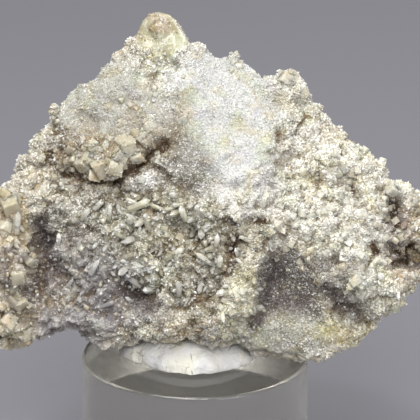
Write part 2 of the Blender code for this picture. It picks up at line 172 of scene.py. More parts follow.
class Web:
    """A node tree that is being written."""

    def __init__(self, tree):
        self.tree = tree

    def add(self, kind, settings=None, sockets=None, take=0):
        """Adds a node, sets it up, fills or links its sockets and returns one output."""
        made = self.tree.nodes.new(kind)
        for name, value in (settings or {}).items():
            setattr(made, name, value)
        for name, value in (sockets or {}).items():
            self.put(made.inputs[name], value)
        return Wire(self, made.outputs[take])

    def put(self, socket, value):
        """Links a wire to an input, or sets the input to a value."""
        if isinstance(value, Wire):
            self.tree.links.new(value.socket, socket)
        else:
            socket.default_value = value

    def maths(self, operation, first, second):
        return self.add("ShaderNodeMath", {"operation": operation}, {0: first, 1: second})

    def blend(self, share, first, second, kind="MIX"):
        """A mix of two colours, each of them a wire or as it is picked on a screen."""
        first, second = (c if isinstance(c, Wire) else srgb(*c) for c in (first, second))
        settings = {"data_type": "RGBA", "blend_type": kind, "clamp_result": False}
        return self.add("ShaderNodeMix", settings, {0: share, 6: first, 7: second}, take=2)

    def between(self, value, low, high):
        """0 below low and 1 above high, with a smooth step between; low may be the higher."""
        sockets = {"Value": value, "From Min": low, "From Max": high}
        return self.add("ShaderNodeMapRange", {"interpolation_type": "SMOOTHSTEP"}, sockets)

    def vector(self, x, y, z):
        return self.add("ShaderNodeCombineXYZ", None, {"X": x, "Y": y, "Z": z})

    def named(self, name):
        """A named attribute of the geometry."""
        return self.add("GeometryNodeInputNamedAttribute", {"data_type": "FLOAT"}, {"Name": name})

    def random(self, kind, low, high, seed):
        """A random value between two others, one for each point or instance."""
        first, last, take = RANDOM_SOCKETS[kind]
        sockets = {first: low, last: high, "Seed": seed}
        return self.add("FunctionNodeRandomValue", {"data_type": kind}, sockets, take)

    def joined(self, parts):
        join = self.add("GeometryNodeJoinGeometry")
        for part in parts:
            self.put(join.socket.node.inputs[0], part)
        return join

    def input(self, name, kind):
        """A named input of the whole tree."""
        self.tree.interface.new_socket(name, in_out="INPUT", socket_type="NodeSocket" + kind)
        return Wire(self, self.tree.nodes.new("NodeGroupInput").outputs[name])


# How much of the light goes into the crystals, and how far
GLOW = 0.5
GLOW_DEPTH = 0.4 * MM
GLOW_COLOURS = (1.0, 0.92, 0.8)
QUARTZ_IOR = 1.54
WOODHOUSEITE_IOR = 1.64
ACRYLIC_IOR = 1.49


class Finish(Web):
    """A Principled material that is being written."""

    def __init__(self, name):
        self.material = bpy.data.materials.new(name)
        self.material.use_nodes = True
        super().__init__(self.material.node_tree)
        self.place = self.add("ShaderNodeTexCoord", take="Object")

    def settle(self, **values):
        """Sets the shader's sockets, by a value or a wire, with _ for a blank in a name."""
        shader = self.tree.nodes["Principled BSDF"]
        for name, value in values.items():
            self.put(shader.inputs[name.replace("_", " ")], value)

    def grain(self, size, detail=2.0, roughness=0.5, place=None):
        """Soft noise, from 0 to 1, with features of that size in millimetres."""
        sockets = {
            "Vector": place or self.place, "Scale": 1.0 / (size * MM),
            "Detail": detail, "Roughness": roughness,
        }
        return self.add("ShaderNodeTexNoise", None, sockets)

    def cells(self, size, feature):
        """How far each place is from the middle or the edge of its cell, some millimetres wide."""
        sockets = {"Vector": self.place, "Scale": 1.0 / (size * MM)}
        return self.add("ShaderNodeTexVoronoi", {"feature": feature}, sockets, take="Distance")

    def mark(self, name):
        """An attribute of the mesh."""
        return self.add("ShaderNodeAttribute", {"attribute_name": name}, take="Fac")

    def along(self, direction):
        """How far each place lies that way from the object's origin, in metres."""
        sockets = {0: self.place, 1: direction}
        return self.add("ShaderNodeVectorMath", {"operation": "DOT_PRODUCT"}, sockets, take="Value")

    def uneven(self, height, strength, distance):
        """A bump of that height, from 0 to 1, over the distance in millimetres."""
        sockets = {"Strength": strength, "Distance": distance * MM, "Height": height}
        return self.add("ShaderNodeBump", None, sockets)


def glow(depth=GLOW_DEPTH, weight=GLOW):
    """Settings of a crystal that lets light through."""
    return dict(Subsurface_Weight=weight, Subsurface_Scale=depth, Subsurface_Radius=GLOW_COLOURS)


# How wide the soft edge of a zone is, as a share of the zone
ZONE_SOFTNESS = 0.35


def zone_mask(web, across, up, name):
    """1 in the middle of a zone and 0 outside it, with a soft edge."""
    x, y, half_width, half_height = ZONES[name][:4]
    middle_across = AIM.dot(FACE_RIGHT) + (x - PHOTO_MIDDLE) * FACE_PIXEL
    middle_up = AIM.dot(FACE_UP) + (PHOTO_MIDDLE - y) * FACE_PIXEL
    side = (across - middle_across) / (half_width * FACE_PIXEL)
    rise = (up - middle_up) / (half_height * FACE_PIXEL)
    away = (side * side + rise * rise) ** 0.5
    return web.between(away, 1.0 + ZONE_SOFTNESS, 1.0 - ZONE_SOFTNESS)


BASE_TINT = (208, 202, 186)
BROKEN_BACK = (150, 138, 120)
# Drifts of hue: width in millimetres, the tint that multiplies the colour, and its strength
DRIFTS = [
    (2.2, (255, 236, 188), 0.45),
    (3.0, (238, 250, 216), 0.45),
    (1.8, (232, 226, 250), 0.35),
]


def druse_tint(web):
    """The colour of the druse at each place of the rock, with the painted light and shade of the zone
    tints.
    """
    wobble = web.grain(2.6, 3.0) - 0.5
    across = web.along(FACE_RIGHT) + wobble * (5.0 * MM)
    up = web.along(FACE_UP) + wobble * (-4.0 * MM)
    colour = BASE_TINT
    # Zone tints: the druse's colour with painted light and shade laid in.
    for name, (*_, tint, strength) in ZONES.items():
        if tint:
            colour = web.blend(zone_mask(web, across, up, name) * strength, colour, tint)
    for size, tint, strength in DRIFTS:
        patch = web.between(web.grain(size), 0.5, 0.66)
        colour = web.blend(patch * strength, colour, tint, "MULTIPLY")
    out = web.along(FACE_OUT) - STAND_TOP.dot(FACE_OUT)
    behind = web.between(out, 3.0 * MM, -1.0 * MM)
    return web.blend(behind * 0.8, colour, BROKEN_BACK)


def stain_and_painted_shade(web, colour):
    """Painted light and shade with the brown stain: painted light on the tops of the lumps and painted
    shade between them, brown stain with painted shade in concave places and cracks, and painted lilac
    shade in deep places.
    """
    hollow, dusk = web.mark("hollow"), web.mark("dusk")
    crest = web.mark("crest")
    # Painted light on the tops of the lumps, painted shade in the gaps between them.
    colour = web.blend(web.between(crest, -0.1, 0.9) * 0.3, colour, (244, 242, 232))
    painted_gap_shade = web.between(crest, -0.1, -0.75)
    colour = web.blend(painted_gap_shade * 0.4, colour, (132, 122, 96))
    patches = web.between(web.grain(3.0, 3.0), 0.35, 0.62)
    brown_stain_and_shade = web.blend(web.grain(1.2), (140, 122, 92), (104, 86, 66))
    # Brown stain with painted shade in concave places, cracks and along the stain lines.
    colour = web.blend(hollow * (patches * 0.6 + 0.2), colour, brown_stain_and_shade)
    lilac = web.blend(web.grain(0.8), (108, 98, 98), (62, 54, 52))
    # Painted lilac shade in the deep places.
    colour = web.blend(dusk, colour, lilac)
    # Painted shadow, dark brown, in the deepest cracks and strongest stain lines.
    return web.blend(web.between(hollow, 1.0, 1.6) * 0.85, colour, (92, 74, 54))


def matrix_finish():
    """The ground between the crystals: the finest sugar, with a grain to each cell of a pattern."""
    web = Finish("matrix")
    cells = web.cells(0.2, "SMOOTH_F1")
    colour = stain_and_painted_shade(web, web.blend(0.12, druse_tint(web), (140, 126, 106)))
    pale = web.between(cells.also("Color"), 0.45, 0.75)
    colour = web.blend(pale * 0.3, colour, (246, 244, 236))
    grainy = 1.0 - web.mark("bare")
    crisp = web.mark("crisp")
    fine = web.grain(0.15, 3.0) * 0.4 - cells
    height = web.grain(0.9, 3.0) + fine * (crisp * 0.7 + 0.3) * grainy
    soft = (1.0 - crisp) * grainy
    web.settle(Base_Color=colour, Roughness=0.25 + soft * 0.35 + cells * grainy * 0.3)
    web.settle(Normal=web.uneven(height, 0.6, 0.12), IOR=QUARTZ_IOR, **glow())
    return web.material


def druse_finish():
    """Sugary grains: pale at their tips and darker at their roots in painted light and shade, some of
    them darker at random, and a few painted white as glints.
    """
    web = Finish("druse")
    grain_tone, crisp = web.mark("grain_tone"), web.mark("crisp")
    tone = (grain_tone - 0.5) * 1.5 + (web.grain(0.9) - 0.5) * 0.6
    tone = tone * crisp + 0.5
    # The tips' share of the paleness is painted light.
    pale = web.between(tone + web.mark("tip") * 0.15, 0.5, 0.92)
    colour = web.blend(pale * 0.6, druse_tint(web), (250, 250, 245))
    colour = web.blend(web.between(tone, 0.42, 0.0) * 0.6, colour, (116, 108, 88))
    # Painted shade at the roots of the grains.
    root = web.between(web.mark("tip"), 0.6, 0.15) * (crisp * 0.6 + 0.1)
    colour = web.blend(root, colour, (136, 126, 104))
    speck = web.between(grain_tone, 0.985, 0.99)
    colour = stain_and_painted_shade(web, web.blend(speck * 0.8, colour, (120, 92, 64)))
    fine = web.grain(0.12)
    lot = web.add("ShaderNodeTexWhiteNoise", {"noise_dimensions": "1D"}, {"W": grain_tone})
    glint, painted_sparkle = web.between(lot, 0.8, 0.82), web.between(lot, 0.96, 0.965)
    # A few grains painted white as glints.
    colour = web.blend(painted_sparkle * 0.7, colour, (252, 252, 250))
    roughness = 0.6 - crisp * 0.35 + grain_tone * 0.2 - painted_sparkle * (1.0 - crisp) * 0.5
    web.settle(Base_Color=colour, Roughness=roughness - glint * crisp * 0.35)
    web.settle(Normal=web.uneven(fine, 0.5, 0.04), IOR=QUARTZ_IOR, **glow(0.3 * MM, 0.3))
    return web.material


def woodhouseite_finish():
    """Straw, flesh and cream crystals, waxy on their faces, with painted light along their edges."""
    web = Finish("woodhouseite")
    tone = web.mark("grain_tone")
    tint = stain_and_painted_shade(web, druse_tint(web))
    flesh = web.blend(web.between(tone, 0.2, 0.5), (208, 188, 148), (222, 212, 178))
    body = web.blend(web.between(tone, 0.6, 0.8), flesh, (208, 206, 176))
    colour = web.blend(0.5, body, tint)
    cloud = web.between(web.grain(0.7, 4.0), 0.4, 0.7)
    colour = web.blend(cloud * 0.4, colour, (238, 236, 224))
    dusky = web.between(web.grain(1.1), 0.52, 0.68)
    colour = web.blend(dusky * 0.4, colour, (196, 162, 130))
    # Painted light along the edges of the blocks.
    colour = web.blend(web.between(web.mark("tip"), 0.3, 1.0) * 0.25, colour, (246, 242, 226))
    height = web.grain(0.2, 3.0)
    web.settle(Base_Color=colour, Roughness=0.12 + cloud * 0.12)
    web.settle(Normal=web.uneven(height, 0.8, 0.12), IOR=WOODHOUSEITE_IOR)
    web.settle(Transmission_Weight=0.2, **glow(1.0 * MM, 0.85))
    return web.material


def quartz_finish():
    """Prisms that are clear and tinted at their roots and milky white toward their tips, the whiteness
    at the tips partly painted light.
    """
    web = Finish("quartz")
    tone = web.mark("grain_tone")
    cloud = web.between(web.grain(0.7, 3.0), 0.3, 0.7)
    tint = stain_and_painted_shade(web, druse_tint(web))
    root = web.blend(tone * -0.4 + 0.95, (222, 222, 212), tint)
    # Milky white from cloud and tone, with painted light toward the tips.
    milky_and_painted_light = web.between(web.mark("tip") * 0.5 + cloud * 0.3 + tone * 0.6, 0.6, 1.3)
    colour = web.blend(milky_and_painted_light * 0.5, root, (250, 250, 246))
    height = web.grain(0.15)
    web.settle(Base_Color=colour, Roughness=0.1 + cloud * 0.12)
    web.settle(Normal=web.uneven(height, 0.15, 0.03), IOR=QUARTZ_IOR, **glow())
    web.settle(Transmission_Weight=0.15)
    return web.material


def putty_finish():
    """White putty with smudges, fine cracks and a warm edge."""
    web = Finish("putty")
    smudge = web.between(web.grain(2.2, 3.0), 0.5, 0.72)
    warm = web.between(web.grain(3.5, 1.0), 0.45, 0.7)
    colour = web.blend(warm * 0.7, (226, 226, 226), (230, 228, 208))
    colour = web.blend(smudge * 0.6, colour, (182, 183, 184))
    crack = web.between(web.cells(1.9, "DISTANCE_TO_EDGE"), 0.035, 0.0)
    line = crack * web.between(web.grain(1.7), 0.5, 0.62)
    colour = web.blend(line * 0.45, colour, (120, 118, 108))
    speck = web.between(web.grain(0.16, 1.0), 0.74, 0.8)
    colour = web.blend(speck * 0.5, colour, (110, 104, 92))
    height = web.grain(0.35, 5.0, 0.65) - line * 0.6
    web.settle(Base_Color=colour, Roughness=0.6, Normal=web.uneven(height, 0.9, 0.25))
    return web.material


def acrylic_finish():
    """Clear acrylic with the faint rings of its turning, and a sawn foot."""
    web = Finish("acrylic")
    parts = web.add("ShaderNodeSeparateXYZ", None, {"Vector": web.place})
    height = parts.also("Z")
    flattened = web.vector(parts * 0.02, parts.also("Y") * 0.02, height)
    rings = web.grain(0.12, 3.0, place=flattened)
    bump = web.uneven(rings, 0.35, 0.03)
    scuff = web.between(web.grain(1.2, 5.0), 0.45, 0.8)
    tint = web.blend(scuff, (250, 248, 240), (240, 238, 228))
    sawn = web.between(height, 0.3 * MM, 0.1 * MM)
    web.settle(Base_Color=tint, Roughness=0.08 + scuff * 0.1 + sawn * 0.5, Normal=bump)
    web.settle(Transmission_Weight=1.0, IOR=ACRYLIC_IOR)
    smoky = {"Color": (0.5, 0.48, 0.42, 1.0), "Density": 6.0}
    body = web.add("ShaderNodeVolumeAbsorption", None, smoky)
    web.put(web.tree.nodes["Material Output"].inputs["Volume"], body)
    return web.material


def floor_finish():
    """Plain grey paper."""
    web = Finish("paper_floor")
    tone = web.blend(web.grain(400, 1.0), (126, 126, 133), (131, 131, 138))
    web.settle(Base_Color=tone, Roughness=0.9)
    return web.material


def linked(name, data):
    """A new object with that mesh, lamp or camera, in the scene."""
    made = bpy.data.objects.new(name, data)
    bpy.context.scene.collection.objects.link(made)
    return made


def mesh_object(mesh, finish):
    mesh.materials.clear()
    mesh.materials.append(finish)
    return linked(mesh.name, mesh)


def as_plain_mesh(obj, name):
    """The evaluated object as a mesh of its own. The object is removed."""
    graph = bpy.context.evaluated_depsgraph_get()
    mesh = bpy.data.meshes.new_from_object(obj.evaluated_get(graph))
    mesh.name = name
    bpy.data.objects.remove(obj)
    return mesh


def mesh_of(form, name):
    mesh = bpy.data.meshes.new(name)
    form.to_mesh(mesh)
    form.free()
    return mesh


def merged_copy(node):
    """A CAD node's mesh with its loose triangles joined."""
    form = bmesh.new()
    form.from_mesh(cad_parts[node].data)
    bmesh.ops.remove_doubles(form, verts=form.verts, dist=0.001 * MM)
    return mesh_of(form, "copy")


def triples(items, field):
    flat = np.empty(len(items) * 3)
    items.foreach_get(field, flat)
    return flat.reshape(-1, 3)


def points_of(mesh):
    return triples(mesh.vertices, "co")


def normals_of(mesh):
    return triples(mesh.vertex_normals, "vector")


def put_points(mesh, points):
    mesh.vertices.foreach_set("co", points.ravel())
    mesh.update()


def remeshed(node, name, grid, rounds):
    """A CAD node on a fine even grid, its edges melted round: the mesh, its points and normals."""
    solid = linked("scratch", merged_copy(node))
    even = solid.modifiers.new("fine_grid", "REMESH")
    even.mode = "VOXEL"
    even.voxel_size = grid
    melt = solid.modifiers.new("melt", "SMOOTH")
    melt.factor = 0.5
    melt.iterations = rounds
    mesh = as_plain_mesh(solid, name)
    return mesh, points_of(mesh), normals_of(mesh)


def photo_place(points):
    """Where points lie in the photograph, in its pixels."""
    from_camera = points - np.array(CAMERA_PLACE)
    away = -(from_camera @ np.array(FACE_OUT))
    scale = CAMERA_AWAY / PHOTO_PIXEL / away
    x = PHOTO_MIDDLE + from_camera @ np.array(FACE_RIGHT) * scale
    y = PHOTO_MIDDLE - from_camera @ np.array(FACE_UP) * scale
    return x, y


def step(values, low, high):
    share = np.clip((values - low) / (high - low), 0.0, 1.0)
    return share * share * (3.0 - 2.0 * share)


def zone_share(x, y, name, soft=ZONE_SOFTNESS):
    """The same mask as zone_mask, for points in the photograph's pixels."""
    middle_x, middle_y, half_width, half_height = ZONES[name][:4]
    away = np.hypot((x - middle_x) / half_width, (y - middle_y) / half_height)
    return step(-away, -1.0 - soft, -1.0 + soft)


def most(x, y, **shares):
    """The greatest of some shares, each of which counts in its own zone."""
    total = np.zeros(len(x))
    for name, share in shares.items():
        total = np.maximum(total, share * zone_share(x, y, name))
    return total


# Cracks and crevices of the face: half width in the photograph's pixels, depth in millimetres,
# and the corners of a line in pixels
CREVICES = [
    (6, 1.3, (64, 172), (88, 179), (113, 184), (138, 166), (165, 144)),
    (7, 0.5, (230, 240), (236, 256), (231, 272)), (5, 0.9, (258, 222), (266, 221)),
    (8, 1.0, (124, 286), (137, 292), (148, 298)), (4, 0.7, (352, 186), (358, 194)),
    (3, 0.8, (300, 235), (302, 241)), (4, 1.0, (375, 246), (377, 254)),
    (6, 1.0, (394, 202), (399, 212)),
]
# Wide hollows, in the same way
HOLLOWS = [
    (20, 0.5, (284, 266), (284, 285), (292, 298)),
    (9, 1.2, (270, 266), (262, 305), (255, 324)),
    (9, 1.2, (324, 290), (346, 303), (370, 324)),
    (10, 1.6, (42, 224), (47, 244), (49, 264), (40, 284)), (8, 1.2, (393, 206), (397, 230)),
    (9, 1.8, (399, 250), (418, 258)), (12, 0.6, (62, 190), (105, 200), (150, 196)),
    (20, 0.5, (100, 320), (60, 300)),
]
# Ridges that stand out of the face, in the same way
RIDGES = [
    (11, 0.7, (256, 268), (244, 288), (231, 310), (216, 330)),
    (9, 0.9, (132, 181), (148, 177)), (10, 0.4, (274, 128), (269, 140), (258, 148)),
    (10, 0.5, (264, 160), (276, 176)), (9, 0.5, (222, 226), (250, 208)),
    (10, 0.5, (304, 164), (314, 172)), (10, 0.7, (142, 262), (152, 278)),
    (10, 0.8, (396, 190), (416, 186)), (14, 0.6, (350, 268), (384, 286)),
]
# Painted lilac-brown shade along the deep places: half width, strength and line
PAINTED_SHADES = [
    (13, 0.85, (280, 261), (274, 282), (270, 300)),
    (12, 0.4, (290, 264), (303, 282), (313, 293)),
    (8, 0.9, (274, 262), (270, 288), (265, 308), (258, 324)),
    (9, 0.85, (318, 282), (338, 300), (358, 318)),
    (12, 1.0, (43, 230), (48, 248), (49, 266), (38, 284)), (9, 0.7, (3, 266), (8, 286)),
    (16, 0.3, (70, 232), (92, 244)), (10, 1.0, (393, 203), (397, 226)),
    (11, 1.0, (396, 248), (406, 256), (420, 264)),
    (13, 0.9, (124, 288), (136, 298), (151, 308)), (10, 0.8, (22, 286), (36, 296)),
    (7, 0.5, (196, 332), (216, 334)), (9, 0.6, (324, 264), (330, 280)),
    (14, 0.75, (268, 300), (300, 304)), (9, 0.5, (340, 268), (366, 270)),
]
# Warm brown stain with painted shadow along cracks, under ledges and in pockets, in the same way
STAINS_AND_SHADOWS = [
    (5, 1.6, (64, 172), (88, 180), (113, 185), (138, 166), (165, 144)),
    (9, 0.5, (150, 150), (160, 128), (172, 112)), (10, 1.2, (54, 153), (70, 148), (86, 146)),
    (8, 0.8, (118, 132), (136, 124)), (8, 0.8, (44, 256), (46, 276)),
    (8, 1.2, (24, 284), (34, 292)), (9, 1.0, (142, 212), (158, 208)),
    (6, 1.2, (394, 206), (399, 226)), (9, 0.7, (184, 288), (208, 300)),
    (12, 0.8, (180, 108), (174, 130), (160, 150)),
    (5, 0.6, (283, 132), (279, 146), (268, 153)),
    (12, 1.2, (228, 240), (233, 254), (230, 274)), (10, 0.3, (222, 188), (232, 212)),
    (9, 0.5, (176, 240), (200, 246)), (12, 0.5, (2, 205), (14, 212)),
    (4, 0.8, (258, 221), (268, 220)), (9, 0.9, (401, 254), (418, 262)),
    (4, 0.6, (352, 186), (358, 194)), (5, 0.6, (300, 235), (302, 242)),
    (6, 0.7, (375, 246), (377, 256)), (9, 0.6, (30, 290), (50, 284)),
]


def line_distance(x, y, corners):
    """Distance in pixels from each point to a line of straight runs."""
    nearest = np.full_like(x, 1e9)
    for (ax, ay), (bx, by) in zip(corners, corners[1:]):
        run_x, run_y = bx - ax, by - ay
        share = np.clip(((x - ax) * run_x + (y - ay) * run_y) / (run_x**2 + run_y**2), 0, 1)
        nearest = np.minimum(nearest, np.hypot(x - ax - share * run_x, y - ay - share * run_y))
    return nearest


def soft_noise(points, size, seed):
    shift = Vector((seed * 7.3, seed * 3.1, seed * 5.7))
    return np.array([noise.noise(Vector(point) / size + shift) for point in points])


def knobs(points, size, seed):
    """Round knobs about that far apart: 1 on top of each and below 0 between them."""
    noise.seed_set(seed)
    shift = Vector((seed * 2.7, seed * 9.1, seed * 4.3))
    away = []
    for point in points:
        place = Vector(point) / size + shift
        away.append(noise.voronoi(place + 0.35 * noise.noise_vector(place * 1.7))[0][0])
    return 1.0 - (np.array(away) / 0.55) ** 2


def smoothed(mesh, points, rounds):
    """The points drawn towards their neighbours, which fills hollows and wears off knobs."""
    edges = np.empty(len(mesh.edges) * 2, dtype=np.int64)
    mesh.edges.foreach_get("vertices", edges)
    first, second = edges.reshape(-1, 2).T
    count = np.bincount(edges, minlength=len(points))[:, None]
    soft = points.copy()
    for _ in range(rounds):
        total = np.zeros_like(soft)
        for axis in range(3):
            total[:, axis] = np.bincount(first, soft[second, axis], len(soft))
            total[:, axis] += np.bincount(second, soft[first, axis], len(soft))
        soft = total / count
    return soft


BASE_GRID = 0.29 * MM
BASE_SINK = 0.36 * MM
BASE_MELTING = 7
# How far the lines above stray from their course, in pixels
LINE_WOBBLE = 4.0
# Knobs of the broken rock: how far apart, how high, and a number that picks the pattern
KNOB_SIZES = [(3.6 * MM, 0.4 * MM, 3), (1.6 * MM, 0.4 * MM, 1), (0.9 * MM, 0.22 * MM, 2)]


def strongest(x, y, lines, unit=1.0):
    """The strongest effect of some lines at each place, fading with the distance from them."""
    effect = np.zeros(len(x))
    for half_width, strength, *corners in lines:
        away = line_distance(x, y, corners) / half_width
        effect = np.maximum(effect, strength * unit * np.exp(-(away**2)))
    return effect


def rock_base():
    """The solid rock as a fine mesh, a little smaller, with its cracks and lumps cut in."""
    mesh, points, normals = remeshed("woodhouseite_rock", "rock_matrix", BASE_GRID, BASE_MELTING)
    x, y = photo_place(points)
    x += LINE_WOBBLE * soft_noise(points, 2.0 * MM, 31)
    y += LINE_WOBBLE * soft_noise(points, 2.0 * MM, 32)
    facing = step(normals @ np.array(FACE_OUT), -0.2, 0.35)
    smooth = most(x, y, dome=1.0, apron=0.8, shoulder=0.75, hollow=1.2)
    bare = zone_share(x, y, "bald_peak", 0.2)
    rough = 1.0 - np.maximum(0.86 * smooth * facing, bare)
    height = -BASE_SINK * (1.0 - bare)
    height += 0.3 * MM * rough * soft_noise(points, 5.0 * MM, 1)
    crest = np.zeros(len(points))
    for size, rise, seed in KNOB_SIZES:
        lump = np.maximum(knobs(points, size, seed), -1.0)
        height += rise * rough * lump
        crest += lump * rough * (size < 2.0 * MM) * 0.5
    crack, dip = strongest(x, y, CREVICES, MM), strongest(x, y, HOLLOWS, MM)
    rise = (strongest(x, y, RIDGES, MM) - crack - dip) * facing
    moved = points + normals * height[:, None] + np.outer(rise, FACE_OUT)
    put_points(mesh, moved)
    inward = smoothed(mesh, moved, 24) - moved
    concave = step(np.einsum("ij,ij->i", inward, normals_of(mesh)), 0.02 * MM, 0.3 * MM)
    crevice = step(crack * facing, 0.5 * MM, 1.9 * MM)
    concave *= 1.0 - 0.8 * most(x, y, hollow=1.0, dome=1.0)
    # Brown stain with painted shade in concave places and painted shadow along cracks.
    brown_stain_and_shade = concave + crevice + strongest(x, y, STAINS_AND_SHADOWS) * facing
    # Painted lilac shade along the deep places.
    dusk = strongest(x, y, PAINTED_SHADES) * facing
    add_attributes(mesh, hollow=brown_stain_and_shade, dusk=dusk, bare=bare, crest=crest)
    return mesh


def add_attributes(mesh, **layers):
    """Gives each point of the mesh a number of each of these names."""
    for name, values in layers.items():
        layer = mesh.attributes.new(name, "FLOAT", "POINT")
        layer.data.foreach_set("value", values.astype(np.float32))


# How far above the stand the rock's underside reaches, where nothing grows
UNDERSIDE = 4.0 * MM


def mark_growth(mesh):
    """Says on the base mesh how much of each kind of crystal grows where, and how large."""
    points, normals = points_of(mesh), normals_of(mesh)
    x, y = photo_place(points)
    front = step(normals @ np.array(FACE_OUT), -0.25, 0.15)
    hidden = (points[:, 2] < STAND_HIGH.z + UNDERSIDE) & (normals[:, 2] < -0.3)
    patches = step(soft_noise(points, 6.0 * MM, 5), -0.05, 0.25)
    open_share = np.where(hidden, 0.0, np.maximum(front, 0.1 + 0.35 * patches))
    open_share *= 1.0 - 0.97 * zone_share(x, y, "bald_peak", 0.2)
    open_share *= 1.0 - 0.85 * step(strongest(x, y, CREVICES, MM), 0.6 * MM, 1.2 * MM) * front

    smooth = most(x, y, dome=1.0, nose=1.0)
    fine = np.maximum(smooth, most(x, y, hollow=0.5, apron=0.8, shoulder=0.9)) * front
    bedded = most(x, y, low_face=0.75, lilac=0.95, ledge=0.6, lobe=0.85, right_end=0.6)
    thin = 1.0 - most(x, y, lilac=0.55, lobe=0.4)
    sugar = open_share * np.maximum(fine, 0.85 * bedded) * thin
    druse = open_share * (1.0 - 0.75 * fine) * (1.0 - bedded)
    soft = most(
        x, y, dome=0.6, shoulder=0.75, lilac=0.95, lobe=0.85, apron=0.5, right_end=0.4, low_face=0.3
    )
    drift = 1.0 + 0.35 * soft_noise(points, 3.0 * MM, 7)
    coarse = 0.12 * zone_share(x, y, "low_face") - 0.3 * most(x, y, lilac=1.0, lobe=0.7)
    size = (1.1 - 0.3 * fine + coarse) * drift
    add_attributes(mesh, sugar_share=sugar, druse_share=druse, crisp=1.0 - soft, grain_size=size)
    cubes = most(x, y, flank=0.5, shoulder=0.2, ledge=0.8, lobe=0.4, ridge=0.6, right_end=0.5)
    cubes = np.maximum(cubes, 0.08) * (1.0 - 0.95 * smooth)
    cubes = open_share * cubes * np.maximum(front, 0.3)
    prisms = most(x, y, low_face=0.9, lilac=0.2, lobe=0.2, ridge=0.3, ledge=0.2)
    prisms = np.maximum(prisms, 0.02) * (1.0 - most(x, y, dome=0.95, nose=0.95, hollow=1.0))
    clusters = step(soft_noise(points, 2.2 * MM, 6), -0.2, 0.3)
    prisms = open_share * prisms * front * (0.15 + 0.85 * clusters)
    add_attributes(mesh, cube_share=cubes, prism_share=prisms)


# How far the foot of a grain about 1 tall is sunk into its ground
FOOT_SUNK = 0.35
PRISM_RADIUS = 0.28


def lifted(web, shape, height):
    sockets = {"Geometry": shape, "Translation": (0.0, 0.0, height)}
    return web.add("GeometryNodeTransform", None, sockets)


def cone(web, fill, sides, radius, height):
    sockets = {"Vertices": sides, "Radius Top": 0.0, "Radius Bottom": radius, "Depth": height}
    return web.add("GeometryNodeMeshCone", {"fill_type": fill}, sockets, take="Mesh")


def cube_shape(web):
    """A near cube that stands on its ground, nearly half of it sunk in."""
    return lifted(web, web.add("GeometryNodeMeshCube", None, {"Size": (1.0, 1.0, 1.0)}), 0.08)


def corner_shape(web):
    """The corner of a cube that stands out of its ground."""
    return lifted(web, cone(web, "NGON", 3, 0.85, 0.95), -FOOT_SUNK)


def point_shape(web):
    return lifted(web, cone(web, "NGON", 5, 0.6, 1.15), -FOOT_SUNK)


def worn(shape):
    """The same shape with its faces shaded as one round form."""
    return lambda web: web.add("GeometryNodeSetShadeSmooth", None, {"Geometry": shape(web)})


def prism_shape(web):
    """A quartz prism: six sides and a point."""
    sockets = {"Vertices": 6, "Radius": PRISM_RADIUS, "Depth": 1.1}
    sides = web.add("GeometryNodeMeshCylinder", {"fill_type": "NGON"}, sockets, take="Mesh")
    tip = cone(web, "NONE", 6, PRISM_RADIUS, 0.3)
    return web.joined([lifted(web, sides, 0.1), lifted(web, tip, 0.65)])


def instance(web, shape):
    """The shape as one instance that notes how far up it each point is: 0 at its foot, 1 at its tip."""
    parts = web.add("ShaderNodeSeparateXYZ", None, {"Vector": web.add("GeometryNodeInputPosition")})
    sockets = {"Geometry": shape, "Name": "tip", "Value": parts.also("Z") + FOOT_SUNK}
    settings = {"data_type": "FLOAT", "domain": "POINT"}
    noted = web.add("GeometryNodeStoreNamedAttribute", settings, sockets)
    return web.add("GeometryNodeGeometryToInstance", None, {"Geometry": noted})


# What a scatter tree is told. Crowd is the most grains in a square metre, and Spread how far
# their sizes stray.
TREE_INPUTS = {
    "Rock": "Geometry", "Share": "String", "Spacing": "Float", "Crowd": "Float",
    "Size": "Float", "Spread": "Float", "Tilt": "Float", "Seed": "Int",
}


